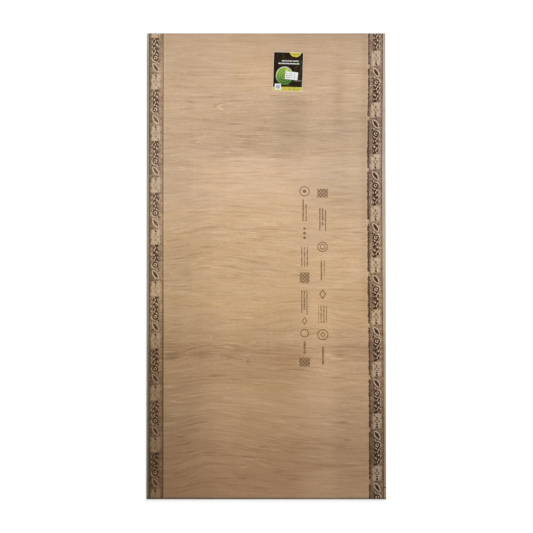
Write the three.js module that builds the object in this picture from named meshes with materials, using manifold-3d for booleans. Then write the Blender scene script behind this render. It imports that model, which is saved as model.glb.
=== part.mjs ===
// A full sheet of 18 mm plywood, lying flat with its printed good face up.
//
// The sheet is one glued board of thirteen plies, laid with their grain by turns
// across the sheet and along it. The saw cuts cleanly along the grain and crushes the
// ends of the fibres, so all round the trimmed edges each ply that shows its end grain
// stands back a little between its two hard glue lines. The face and back veneers run
// across the sheet, as every second ply between them does: those plies are stepped
// back on the two long edges, and the others on the two short edges.
//
// A printed paper label is stuck to the good face, and a price sticker to the label.
//
// Millimetres, +Z up. X runs across the sheet and Y along it. The origin is the
// centre of the back face, which lies on the floor.

import * as THREE from 'three';
import { mergeVertices } from 'three/addons/utils/BufferGeometryUtils.js';
import Module from 'manifold-3d';

// The sheet.
const SHEET_WIDTH = 1220;
const SHEET_LENGTH = 2440;
const SHEET_THICKNESS = 18;
const PLY_COUNT = 13;
const FACE_VENEER = 0.5;
const GLUE_LINE = 0.1;
const END_GRAIN_STEP = 0.2;
const TRIM = 30;
const UNSANDED = 1;

// The label and the price sticker. A turn is seen from above, clockwise below zero.
const LABEL = {
  width: 152,
  length: 206,
  thickness: 0.2,
  cornerRadius: 2,
  centreX: 112,
  centreY: 1017,
  turn: -1.7,
};
const STICKER = {
  width: 65,
  length: 41,
  thickness: 0.15,
  cornerRadius: 1.5,
  centreX: 129.5,
  centreY: 996,
  turn: -6.2,
};

// Height of the middle of each glue line, from the back face up to the good face.
function glueHeights() {
  const corePly = (SHEET_THICKNESS - 2 * FACE_VENEER) / (PLY_COUNT - 2);
  const heights = [];
  for (let line = 0; line < PLY_COUNT - 1; line += 1) {
    heights.push(FACE_VENEER + line * corePly);
  }
  return heights;
}

// Section through a board `span` wide, with every second ply, counted from
// `firstSteppedPly` up, standing back from both ends. The glue lines stand with the
// plies that don't. `unsanded` is the thickness left on both faces.
function boardSection(span, firstSteppedPly, unsanded) {
  const glue = glueHeights();
  const right = [];
  for (let ply = 0; ply < PLY_COUNT; ply += 1) {
    const stepped = ply % 2 === firstSteppedPly;
    const reach = span / 2 - (stepped ? END_GRAIN_STEP : 0);
    const lap = (stepped ? -GLUE_LINE : GLUE_LINE) / 2;
    const bottom = ply === 0 ? -unsanded : glue[ply - 1] - lap;
    const top = ply === PLY_COUNT - 1 ? SHEET_THICKNESS + unsanded : glue[ply] + lap;
    right.push(new THREE.Vector2(reach, bottom));
    right.push(new THREE.Vector2(reach, top));
  }
  const left = right.map((point) => new THREE.Vector2(-point.x, point.y)).reverse();
  return new THREE.Shape([...right, ...left]);
}

// The section drawn out along its normal, centred on the section's plane.
function drawnOut(section, length) {
  const geometry = new THREE.ExtrudeGeometry(section, { depth: length, bevelEnabled: false });
  geometry.translate(0, 0, -length / 2);
  return geometry;
}

// A board sawn to width and sanded to thickness, still untrimmed at its short edges.
function boardSawnToWidth() {
  const section = boardSection(SHEET_WIDTH, 0, 0);
  return drawnOut(section, SHEET_LENGTH + 2 * TRIM).rotateX(Math.PI / 2);
}

// A board sawn to length, still untrimmed at its long edges and unsanded.
function boardSawnToLength() {
  const section = boardSection(SHEET_LENGTH, 1, UNSANDED);
  return drawnOut(section, SHEET_WIDTH + 2 * TRIM).rotateX(Math.PI / 2).rotateZ(Math.PI / 2);
}

function toSolid(wasm, geometry) {
  geometry.deleteAttribute('normal');
  geometry.deleteAttribute('uv');
  const merged = mergeVertices(geometry);
  const mesh = new wasm.Mesh({
    numProp: 3,
    vertProperties: new Float32Array(merged.attributes.position.array),
    triVerts: new Uint32Array(merged.index.array),
  });
  return new wasm.Manifold(mesh);
}

function toGeometry(solid) {
  const mesh = solid.getMesh();
  const geometry = new THREE.BufferGeometry();
  geometry.setAttribute('position', new THREE.BufferAttribute(mesh.vertProperties, 3));
  geometry.setIndex(new THREE.BufferAttribute(mesh.triVerts, 1));
  geometry.computeVertexNormals();
  return geometry;
}

// The finished sheet is what the two boards have in common.
function plywoodSheet(wasm) {
  const sawnToWidth = toSolid(wasm, boardSawnToWidth());
  const sheet = sawnToWidth.intersect(toSolid(wasm, boardSawnToLength()));
  const material = new THREE.MeshStandardMaterial({
    color: 0xba9b7b,
    roughness: 0.7,
    metalness: 0,
  });
  const mesh = new THREE.Mesh(toGeometry(sheet), material);
  mesh.name = 'plywood_sheet';
  return mesh;
}

function roundedRectangle(width, length, radius) {
  const x = width / 2;
  const y = length / 2;
  const shape = new THREE.Shape();
  shape.moveTo(-x + radius, -y);
  shape.lineTo(x - radius, -y);
  shape.absarc(x - radius, -y + radius, radius, -Math.PI / 2, 0);
  shape.lineTo(x, y - radius);
  shape.absarc(x - radius, y - radius, radius, 0, Math.PI / 2);
  shape.lineTo(-x + radius, y);
  shape.absarc(-x + radius, y - radius, radius, Math.PI / 2, Math.PI);
  shape.lineTo(-x, -y + radius);
  shape.absarc(-x + radius, -y + radius, radius, Math.PI, 1.5 * Math.PI);
  return shape;
}

// A paper label stuck flat on a surface at the given height.
function paperLabel(name, size, height, color) {
  const outline = roundedRectangle(size.width, size.length, size.cornerRadius);
  const geometry = new THREE.ExtrudeGeometry(outline, {
    depth: size.thickness,
    bevelEnabled: false,
    curveSegments: 4,
  });
  const material = new THREE.MeshStandardMaterial({ color, roughness: 0.5, metalness: 0 });
  const mesh = new THREE.Mesh(geometry, material);
  mesh.name = name;
  mesh.position.set(size.centreX, size.centreY, height);
  mesh.rotation.z = THREE.MathUtils.degToRad(size.turn);
  return mesh;
}

const wasm = await Module();
wasm.setup();

const group = new THREE.Group();
group.add(plywoodSheet(wasm));
group.add(paperLabel('product_label', LABEL, SHEET_THICKNESS, 0x1e1d1a));
group.add(paperLabel('price_sticker', STICKER, SHEET_THICKNESS + LABEL.thickness, 0xf0f1ec));

export default group;
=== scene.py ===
import math

import bpy
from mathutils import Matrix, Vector


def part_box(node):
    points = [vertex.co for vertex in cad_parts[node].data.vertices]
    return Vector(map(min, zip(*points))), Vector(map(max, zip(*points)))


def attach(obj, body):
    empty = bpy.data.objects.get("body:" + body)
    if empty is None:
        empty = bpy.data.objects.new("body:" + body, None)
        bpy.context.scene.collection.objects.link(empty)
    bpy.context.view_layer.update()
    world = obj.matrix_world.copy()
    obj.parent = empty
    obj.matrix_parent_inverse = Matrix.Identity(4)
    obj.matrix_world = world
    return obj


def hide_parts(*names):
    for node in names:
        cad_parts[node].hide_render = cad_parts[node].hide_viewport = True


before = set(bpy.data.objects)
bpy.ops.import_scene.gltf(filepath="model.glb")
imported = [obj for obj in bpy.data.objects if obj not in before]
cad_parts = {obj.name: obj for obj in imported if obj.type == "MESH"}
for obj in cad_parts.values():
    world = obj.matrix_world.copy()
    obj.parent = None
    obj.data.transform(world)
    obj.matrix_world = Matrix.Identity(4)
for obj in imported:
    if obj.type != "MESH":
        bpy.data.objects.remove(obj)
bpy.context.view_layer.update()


# The view: the sheet lies on the floor, and the camera looks down on it from a long way
# off, tipped a little to its foot, so that its sides look parallel.
VIEW_ELEVATION = math.radians(76.8)
VIEW_DISTANCE = 90.0
VIEW_WIDTH = 2.721
VIEW_AIM = Vector((0.0016, -0.0069, 0.018))
SENSOR_WIDTH = 36.0


def make_camera():
    data = bpy.data.cameras.new("camera")
    data.sensor_fit = "HORIZONTAL"
    data.sensor_width = SENSOR_WIDTH
    data.lens = SENSOR_WIDTH * VIEW_DISTANCE / VIEW_WIDTH
    data.clip_start = 1.0
    data.clip_end = 2 * VIEW_DISTANCE
    camera = bpy.data.objects.new("camera", data)
    bpy.context.collection.objects.link(camera)
    back = Vector((0, -math.cos(VIEW_ELEVATION), math.sin(VIEW_ELEVATION)))
    camera.location = VIEW_AIM + VIEW_DISTANCE * back
    camera.rotation_euler = (math.pi / 2 - VIEW_ELEVATION, 0, 0)
    bpy.context.scene.camera = camera


make_camera()
bpy.context.scene.view_settings.view_transform = "Standard"


# The studio: a pale floor that looks white, an even sky, a soft sun, and a wide lamp high
# over the head of the sheet, so that the light falls off a little towards its foot.
FLOOR_SIZE = 120.0
FLOOR_HEIGHT = -0.0003
FLOOR_COLOUR = (0.6, 0.6, 0.6, 1)
FLOOR_GLOW_AS_SEEN = 0.64
SKY_STRENGTH = 0.36
SUN_STRENGTH = 0.62
SUN_WIDTH = math.radians(40)
SUN_TILT = (math.radians(-14), math.radians(16), 0)
LAMP_PLACE = Vector((0.3, 1.9, 2.6))
LAMP_AIM = Vector((0.0, 0.3, 0.0))
LAMP_SIZE = 2.4
LAMP_POWER = 60.0


def seen_directly(tree):
    """1 for rays from the camera and those that gloss or glass turns back, or else 0."""
    rays = tree.nodes.new("ShaderNodeLightPath")
    turned_back = tree.nodes.new("ShaderNodeMath")
    turned_back.operation = "MAXIMUM"
    tree.links.new(rays.outputs["Is Glossy Ray"], turned_back.inputs[0])
    tree.links.new(rays.outputs["Is Transmission Ray"], turned_back.inputs[1])
    seen = tree.nodes.new("ShaderNodeMath")
    seen.operation = "MAXIMUM"
    tree.links.new(rays.outputs["Is Camera Ray"], seen.inputs[0])
    tree.links.new(turned_back.outputs[0], seen.inputs[1])
    return seen.outputs[0]


def make_floor():
    bpy.ops.mesh.primitive_plane_add(size=FLOOR_SIZE, location=(0, 0, FLOOR_HEIGHT))
    floor = bpy.context.object
    floor.name = "floor"
    material = bpy.data.materials.new("pale floor")
    material.use_nodes = True
    tree = material.node_tree
    surface = tree.nodes["Principled BSDF"]
    surface.inputs["Base Color"].default_value = FLOOR_COLOUR
    surface.inputs["Roughness"].default_value = 1.0
    surface.inputs["Specular IOR Level"].default_value = 0.0
    surface.inputs["Emission Color"].default_value = (1, 1, 1, 1)
    glow = tree.nodes.new("ShaderNodeMath")
    glow.operation = "MULTIPLY"
    glow.inputs[1].default_value = FLOOR_GLOW_AS_SEEN
    tree.links.new(seen_directly(tree), glow.inputs[0])
    tree.links.new(glow.outputs[0], surface.inputs["Emission Strength"])
    floor.data.materials.append(material)


def make_sky():
    world = bpy.data.worlds.new("sky")
    world.use_nodes = True
    tree = world.node_tree
    background = tree.nodes["Background"]
    background.inputs["Color"].default_value = (1, 1, 1, 1)
    strength = tree.nodes.new("ShaderNodeMapRange")
    strength.inputs["To Min"].default_value = SKY_STRENGTH
    strength.inputs["To Max"].default_value = 1.0
    tree.links.new(seen_directly(tree), strength.inputs["Value"])
    tree.links.new(strength.outputs["Result"], background.inputs["Strength"])
    bpy.context.scene.world = world


def hang_lamp(name, kind, strength, turn):
    lamp = bpy.data.objects.new(name, bpy.data.lights.new(name, kind))
    lamp.data.energy = strength
    lamp.rotation_euler = turn
    bpy.context.collection.objects.link(lamp)
    return lamp


def make_lamps():
    sun = hang_lamp("soft sun", "SUN", SUN_STRENGTH, SUN_TILT)
    sun.data.angle = SUN_WIDTH
    tilt = (LAMP_PLACE - LAMP_AIM).to_track_quat("Z", "Y").to_euler()
    lamp = hang_lamp("wide lamp", "AREA", LAMP_POWER, tilt)
    lamp.data.shape = "SQUARE"
    lamp.data.size = LAMP_SIZE
    lamp.location = LAMP_PLACE


make_floor()
make_sky()
make_lamps()


# The board: thirteen veneers glued crosswise into one solid sheet, sawn to size and
# sanded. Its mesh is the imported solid's, merged, with its long sharp edges eased and
# one small nick broken out of the good face beside the right edge.
MM = 0.001
HALF_WIDTH, HALF_LENGTH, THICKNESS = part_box("plywood_sheet")[1]
FACE_VENEER = 0.5 * MM
PLY_COUNT = 13
CORE_PLY = (THICKNESS - 2 * FACE_VENEER) / (PLY_COUNT - 2)
EASED_EDGE = 0.25 * MM
TOLERANCE = 0.01 * MM
NICK_INNER_END = 595 * MM
NICK_MIDDLE = -1163 * MM
NICK_HALF_WIDTH = 2.6 * MM
NICK_SLOPE = 1.1 * MM
NICK_DEPTH = 0.42 * MM


def edit(piece):
    for other in bpy.context.selected_objects:
        other.select_set(False)
    bpy.context.view_layer.objects.active = piece
    piece.select_set(True)
    bpy.ops.object.mode_set(mode="EDIT")


def pick(piece, kind, wanted):
    """Selects the faces, edges or corners of a piece that are `wanted`, in edit mode."""
    bpy.ops.mesh.select_all(action="DESELECT")
    bpy.ops.object.mode_set(mode="OBJECT")
    mesh = piece.data
    parts = {"faces": mesh.polygons, "edges": mesh.edges, "corners": mesh.vertices}
    for part in parts[kind]:
        part.select = wanted(part)
    bpy.ops.object.mode_set(mode="EDIT")


def ease_edges(piece):
    """A narrow chamfer all round the good face and the back."""

    def on_one_face(edge):
        first, second = (piece.data.vertices[end].co.z for end in edge.vertices)
        return first == second and (first < TOLERANCE or first > THICKNESS - TOLERANCE)

    bpy.ops.mesh.select_mode(type="EDGE")
    pick(piece, "edges", on_one_face)
    bpy.ops.mesh.bevel(offset=EASED_EDGE, segments=2, affect="EDGES")


def cut_nick(piece):
    """A short gouge with sloping sides, open at the right edge."""

    def in_nick(corner):
        x, y, z = corner.co
        in_width = abs(y - NICK_MIDDLE) < NICK_HALF_WIDTH + TOLERANCE
        near_top = z > THICKNESS - EASED_EDGE - TOLERANCE
        return in_width and near_top and x > NICK_INNER_END + NICK_SLOPE / 2

    wall = NICK_HALF_WIDTH + NICK_SLOPE
    for y in (-wall, -NICK_HALF_WIDTH, NICK_HALF_WIDTH, wall):
        pick(piece, "faces", lambda face: face.center.z > THICKNESS - FACE_VENEER)
        bpy.ops.mesh.bisect(plane_co=(0, NICK_MIDDLE + y, 0), plane_no=(0, 1, 0))
    for x in (NICK_INNER_END, NICK_INNER_END + NICK_SLOPE):
        pick(piece, "faces", lambda face: face.center.z > THICKNESS - TOLERANCE)
        bpy.ops.mesh.bisect(plane_co=(x, 0, 0), plane_no=(1, 0, 0))
    bpy.ops.mesh.select_mode(type="VERT")
    pick(piece, "corners", in_nick)
    bpy.ops.transform.resize(value=(1, 1, 0), center_override=(0, 0, THICKNESS - EASED_EDGE))
    bpy.ops.transform.translate(value=(0, 0, EASED_EDGE - NICK_DEPTH))


def make_board():
    board = bpy.data.objects.new("board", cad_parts["plywood_sheet"].data.copy())
    bpy.context.collection.objects.link(board)
    board.data.materials.clear()
    edit(board)
    bpy.ops.mesh.select_all(action="SELECT")
    bpy.ops.mesh.remove_doubles(threshold=TOLERANCE)
    bpy.ops.mesh.dissolve_limited(angle_limit=math.radians(0.5))
    ease_edges(board)
    cut_nick(board)
    bpy.ops.mesh.select_mode(type="FACE")
    bpy.ops.mesh.select_all(action="SELECT")
    bpy.ops.mesh.normals_make_consistent(inside=False)
    bpy.ops.object.mode_set(mode="OBJECT")
    bpy.ops.object.shade_flat()
    return board


board = make_board()
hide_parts("plywood_sheet")
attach(board, "root")


# The veneers: thin sheets of a pale brown hardwood peeled off a turning log, so growth
# lines run in long waves and loops. Patterns are in millimetres, with X along the grain
# and Y across it, and each noise has a layer of its own, so that no two look alike.


class Pattern:
    """A number that changes over a surface. Arithmetic on it adds Math nodes to its tree."""

    def __init__(self, tree, socket):
        self.tree = tree
        self.socket = socket

    def math(self, operation, *terms):
        node = self.tree.nodes.new("ShaderNodeMath")
        node.operation = operation
        for socket, term in zip(node.inputs, (self, *terms)):
            feed(socket, term)
        return Pattern(self.tree, node.outputs["Value"])

    def __add__(self, term):
        return self.math("ADD", term)

    def __sub__(self, term):
        return self.math("SUBTRACT", term)

    def __mul__(self, term):
        return self.math("MULTIPLY", term)

    def __truediv__(self, term):
        return self.math("DIVIDE", term)

    def __neg__(self):
        return self * -1.0

    def __rsub__(self, term):
        return -self + term

    def __abs__(self):
        return self.math("ABSOLUTE")

    __radd__ = __add__
    __rmul__ = __mul__

    def rise(self, start, end):
        """Climbs smoothly from 0 at `start` to 1 at `end`, which may be the lower of the two."""
        node = self.tree.nodes.new("ShaderNodeMapRange")
        node.interpolation_type = "SMOOTHSTEP"
        feed(node.inputs["Value"], self)
        feed(node.inputs["From Min"], start)
        feed(node.inputs["From Max"], end)
        return Pattern(self.tree, node.outputs["Result"])

    def between(self, start, full, still_full, end):
        """1 from `full` to `still_full`, with a smooth slope from `start` and one to `end`."""
        return self.rise(start, full) * self.rise(end, still_full)

    def wrapped(self, period):
        """Starts again every `period`, and runs from minus half of it to half of it."""
        return self.math("WRAP", period / 2, -period / 2)


def feed(socket, value):
    """Links a pattern to a socket, or sets the socket to a plain value."""
    if isinstance(value, Pattern):
        value.tree.links.new(value.socket, socket)
    elif isinstance(value, bpy.types.NodeSocket):
        socket.id_data.links.new(value, socket)
    else:
        socket.default_value = value


LAYER_SPACING = 7.31


def vector(x, y, z=0.0):
    node = x.tree.nodes.new("ShaderNodeCombineXYZ")
    feed(node.inputs["X"], x)
    feed(node.inputs["Y"], y)
    feed(node.inputs["Z"], z)
    return Pattern(x.tree, node.outputs["Vector"])


def noise(x, y, length, width, layer, detail=2.0, roughness=0.5):
    """Soft streaks of about `length` by `width`, mostly between -1 and 1."""
    node = x.tree.nodes.new("ShaderNodeTexNoise")
    feed(node.inputs["Vector"], vector(x / length, y / width, layer * LAYER_SPACING))
    feed(node.inputs["Scale"], 1.0)
    feed(node.inputs["Detail"], detail)
    feed(node.inputs["Roughness"], roughness)
    return (Pattern(x.tree, node.outputs["Fac"]) - 0.5) * 4.0


def mix(amount, first, second, blend="MIX"):
    """Colour `first` where `amount` is 0 and `second` where it is 1."""
    tree = amount.tree
    node = tree.nodes.new("ShaderNodeMix")
    node.data_type = "RGBA"
    node.blend_type = blend
    feed(node.inputs[0], amount)
    feed(node.inputs[6], first)
    feed(node.inputs[7], second)
    return Pattern(tree, node.outputs[2])


def brighten(colour, factor):
    node = colour.tree.nodes.new("ShaderNodeVectorMath")
    node.operation = "SCALE"
    feed(node.inputs[0], colour)
    feed(node.inputs["Scale"], factor)
    return Pattern(colour.tree, node.outputs[0])


def enrich(colour, amount):
    """Makes a colour deeper and browner by `amount`, or paler below zero."""
    node = colour.tree.nodes.new("ShaderNodeGamma")
    feed(node.inputs["Color"], colour)
    feed(node.inputs["Gamma"], 1 + amount)
    return Pattern(colour.tree, node.outputs["Color"])


def new_effect(name, inputs, outputs):
    """An empty node group and its inputs as patterns. A place is a vector, the rest numbers."""
    tree = bpy.data.node_groups.new(name, "ShaderNodeTree")
    for label in inputs:
        kind = "NodeSocketVector" if label == "Place" else "NodeSocketFloat"
        tree.interface.new_socket(label, in_out="INPUT", socket_type=kind)
    for label in outputs:
        tree.interface.new_socket(label, in_out="OUTPUT", socket_type="NodeSocketFloat")
    given = tree.nodes.new("NodeGroupInput")
    return tree, [Pattern(tree, given.outputs[label]) for label in inputs]


def give_out(tree, *values):
    """Feeds a node group's outputs in their order."""
    result = tree.nodes.new("NodeGroupOutput")
    for socket, value in zip(result.inputs, values):
        feed(socket, value)


def place_effect(tree, effect, *values):
    """Puts a node group in a material, and gives its outputs as patterns."""
    node = tree.nodes.new("ShaderNodeGroup")
    node.node_tree = effect
    for socket, value in zip(node.inputs, values):
        feed(socket, value)
    return [Pattern(tree, socket) for socket in node.outputs]


def split(place):
    node = place.tree.nodes.new("ShaderNodeSeparateXYZ")
    feed(node.inputs[0], place)
    return [Pattern(place.tree, socket) for socket in node.outputs]


def new_finish(name, gloss):
    """A material, its node tree and its surface. Gloss is the strength of its highlights."""
    material = bpy.data.materials.new(name)
    material.use_nodes = True
    surface = material.node_tree.nodes["Principled BSDF"]
    surface.inputs["Specular IOR Level"].default_value = gloss
    return material, material.node_tree, surface


def place_in_mm(tree):
    where = Pattern(tree, tree.nodes.new("ShaderNodeTexCoord").outputs["Object"])
    return [part / MM for part in split(where)]


def add_relief(surface, height, depth, strength=0.5):
    """Bump on a surface, with the pattern `height` standing `depth` metres high."""
    relief = height.tree.nodes.new("ShaderNodeBump")
    relief.inputs["Distance"].default_value = depth
    relief.inputs["Strength"].default_value = strength
    feed(relief.inputs["Height"], height)
    feed(surface.inputs["Normal"], relief.outputs["Normal"])


GROWTH_PITCH = 29.0
FINE_GROWTH_PITCH = 9.5
LOOP_REACH = 30.0


def make_peeled_grain():
    """Group: place on the veneer, lift of the grain and strength of its loops give its
    broad streaks, its thin threads, its dark growth lines, its fibres and its pores."""
    outputs = "Streaks", "Threads", "Growth lines", "Fibres", "Pores"
    tree, (place, lift, loops) = new_effect("peeled grain", ("Place", "Lift", "Loops"), outputs)
    x, y = split(place)[:2]
    wander = noise(x, y, 520, 300, 1) * 11 + noise(x, y, 150, 75, 2) * 2.2
    across = y - lift - wander
    depth = across + loops * noise(x, across, 340, 120, 3, detail=1.0) * LOOP_REACH
    ring = depth.wrapped(GROWTH_PITCH) / GROWTH_PITCH + 0.5
    line = ring.rise(0.0, 0.14) * ring.rise(0.62, 0.14)
    shown = noise(x, across, 300, 60, 4).rise(-0.15, 0.9)
    fine_ring = abs(depth.wrapped(FINE_GROWTH_PITCH) / FINE_GROWTH_PITCH) * 2
    fine_shown = noise(x, across, 180, 26, 5).rise(-0.1, 0.9)
    lines = line * shown + fine_ring.rise(1.0, 0.3) * fine_shown * 0.6
    soft = noise(x, across, 620, 62, 6) * 0.3 + noise(x, across, 190, 20, 7) * 0.33
    narrow = noise(x, across, 110, 9.0, 8)
    threaded = 0.3 + noise(x, across, 230, 40, 14).rise(-0.5, 0.7) * 0.7
    light_threads = noise(x, across, 112, 5.4, 11, detail=1.0).rise(0.2, 0.7) * threaded
    dark_threads = noise(x, across, 105, 5.2, 12, detail=1.0).rise(0.25, 0.75) * threaded
    flecks = noise(x, across, 17, 5.0, 13)
    fibres = noise(x, across, 16, 0.9, 9, detail=3.0)
    pores = noise(x, across, 5.5, 0.42, 10, detail=1.0).rise(0.6, 1.1)
    threads = light_threads * 2.1 - dark_threads * 2.5 + flecks * 0.9
    give_out(tree, soft + narrow * 0.8, threads, lines, fibres, pores)
    return tree


PEELED_GRAIN = make_peeled_grain()


# The printed borders: a band of ink rolled along each long edge between two dark lines.
# In it a leafy vine with a curl, a slanted leaf and a pale panel of lozenges follow one
# another. The right border's inner line is heavy and ragged, and has gaps.
BAND_START = 15.0
BAND_END = 83.0
REPEAT = 272.0
ROUGHNESS_OF_PRINT = 1.2
VINE_MIDDLE = -80.0
VINE_HALF_LENGTH = 56.0
VINE_SWING = 4.5
VINE_WAVE = 52.0
VINE_PITCH = 26.0
LEAFLET_OUT = 9.5
LEAFLET_HALF = (12.0, 4.6)
LEAFLET_TURN = math.radians(38)
CURL_MIDDLE = (-1.0, 50.0)
CURL_RADIUS = 13.0
LEAF_MIDDLE = 22.0
LEAF_TURN = math.radians(33)
LEAF_HALF = (29.0, 12.5)
LEAF_CORE_HALF = (24.0, 8.0)
PANEL_MIDDLE = 96.0
PANEL_SIZE = (44.0, 76.0)
PANEL_SOFTNESS = 5.0
PANEL_SLANT = 0.2
PANEL_UNEVENNESS = 4.0
LOZENGE_PITCH = 17.0
PALE_EDGE = (4.6, -3.2)
# Distances from the edge, and half a line's width, on the left border and on the right.
MOTIF_LINES = (45.0, 49.0)
OUTER_LINES = (12.2, 17.0)
OUTER_HALVES = (2.9, 2.2)
INNER_LINES = (83.0, 86.4)
INNER_HALF = 4.2
INNER_RAGGEDNESS = 3.0
WIDER_ALONG = (-300, -100, 700, 850)
GAP_PLACE = 52.0
GAP_DEPTH = 5.0
# Lanes where the ink is darker, or lighter below zero: where a lane starts, is full, is
# still full and ends, then by how much, and by how much near the head.
LEFT_LANES = [((0, 1, 26, 34), 0.13, 0.13), ((54, 64, 90, 91), -0.13, -0.13)]
RIGHT_LANES = [
    ((44, 50, 60, 68), 0.13, 0.0),
    ((64, 70, 90, 91), -0.08, -0.22),
    ((0, 1, 31, 36), -0.02, -0.02),
]
LANES_HEAD = (900, 1050)


def bar(x, y, centre, size, soft=0.7):
    """1 inside an upright rectangle, and 0 outside it."""
    wide = abs(x - centre[0]).rise(size[0] / 2 + soft, size[0] / 2 - soft)
    return wide * abs(y - centre[1]).rise(size[1] / 2 + soft, size[1] / 2 - soft)


def distance(x, y, centre):
    across = x - centre[0]
    along = y - centre[1]
    return (across * across + along * along).math("SQRT")


def ring(x, y, centre, radius, width, soft=0.6):
    return abs(distance(x, y, centre) - radius).rise(width / 2 + soft, width / 2 - soft)


def disc(x, y, centre, radius, soft=0.6):
    return distance(x, y, centre).rise(radius + soft, radius - soft)


def lozenge(x, y, half):
    return (abs(x) / half[0] + abs(y) / half[1]).rise(1.12, 0.88)


def lozenge_outline(x, y, half):
    return abs(abs(x) / half[0] + abs(y) / half[1] - 0.85).rise(0.24, 0.12)


def leaf(x, y, half):
    """A pointed oval, with its points at the ends of X."""
    return ((x / half[0]).math("POWER", 2.0) + abs(y) / half[1]).rise(1.12, 0.88)


def either(*masks):
    whole = masks[0]
    for mask in masks[1:]:
        whole = whole.math("MAXIMUM", mask)
    return whole


def bars_at(x, y, places):
    """1 inside any of the rectangles, each of which is its centre and its size."""
    return either(*[bar(x, y, *place) for place in places])


def turned_leaf(run, side, turn, half):
    turned_run = run * math.cos(turn) + side * math.sin(turn)
    turned_side = side * math.cos(turn) - run * math.sin(turn)
    return leaf(turned_run, turned_side, half)


def make_vine(side, along):
    """A wavy stem with leaflets by turns to either side, and a round curl at its end."""
    stem_half = 4.2 + (along * (2 * math.pi / 17)).math("SINE") * 1.6
    swing = (along * (2 * math.pi / VINE_WAVE)).math("SINE") * VINE_SWING
    parts = [(abs(side - swing) - stem_half).rise(0.7, -0.7)]
    for lean, start in ((1, 0.0), (-1, VINE_PITCH / 2)):
        run = (along - start).wrapped(VINE_PITCH)
        parts.append(turned_leaf(run, side * lean - LEAFLET_OUT, LEAFLET_TURN, LEAFLET_HALF))
    length = along.rise(-VINE_HALF_LENGTH, 2 - VINE_HALF_LENGTH)
    vine = either(*parts) * length * along.rise(38, 36)
    curl = ring(side, along, CURL_MIDDLE, CURL_RADIUS, 7.0)
    return either(vine, curl, disc(side, along, CURL_MIDDLE, 4.0))


def make_border_marks():
    """Group: place beside the motif's line and along it, with the strength of the marks in
    the panel, gives the dark marks, and how bare and how pale the band is left round them."""
    inputs = "Side", "Along", "Panel marks"
    tree, (side, place, panel_marks) = new_effect("border marks", inputs, ("Dark", "Bare", "Pale"))
    on_leaf = place - LEAF_MIDDLE
    core = turned_leaf(on_leaf, side, LEAF_TURN, LEAF_CORE_HALF)
    blade = turned_leaf(on_leaf, side, LEAF_TURN, LEAF_HALF)
    in_panel = place - PANEL_MIDDLE
    faint = either(
        lozenge_outline(side, in_panel, (14, 11)),
        lozenge(side, in_panel - LOZENGE_PITCH, (7, 6)),
        lozenge(side, in_panel + LOZENGE_PITCH, (7, 6)),
    )
    comma = turned_leaf(in_panel + 30, side, LEAF_TURN, (8, 5))
    flicks = either(disc(side, place, (15, -8), 4.6), comma, disc(side, in_panel, (12, 28), 3.6))
    dark = either(make_vine(side, place - VINE_MIDDLE), core, flicks, faint * panel_marks)
    uneven_side = side + noise(side, place, 20, 20, 39, detail=1.0) * PANEL_UNEVENNESS
    uneven_place = place + noise(side, place, 16, 16, 40, detail=1.0) * PANEL_UNEVENNESS
    uneven_place = uneven_place + side * PANEL_SLANT
    panel = bar(uneven_side, uneven_place, (0, PANEL_MIDDLE), PANEL_SIZE, PANEL_SOFTNESS)
    give_out(tree, dark, either(panel * 0.65, blade), either(blade, panel * 0.45))
    return tree


BORDER_MARKS = make_border_marks()


def by_border(right, values):
    """The first value on the left border and the second on the right one."""
    return values[0] + right * (values[1] - values[0])


def lanes_of_ink(across, along, lanes):
    to_head = along.rise(*LANES_HEAD)
    return sum(across.between(*lane) * (low + to_head * (high - low)) for lane, low, high in lanes)


def straight_line(across, middle, half, soft):
    return (abs(across - middle) - half).rise(soft, -soft)


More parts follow.
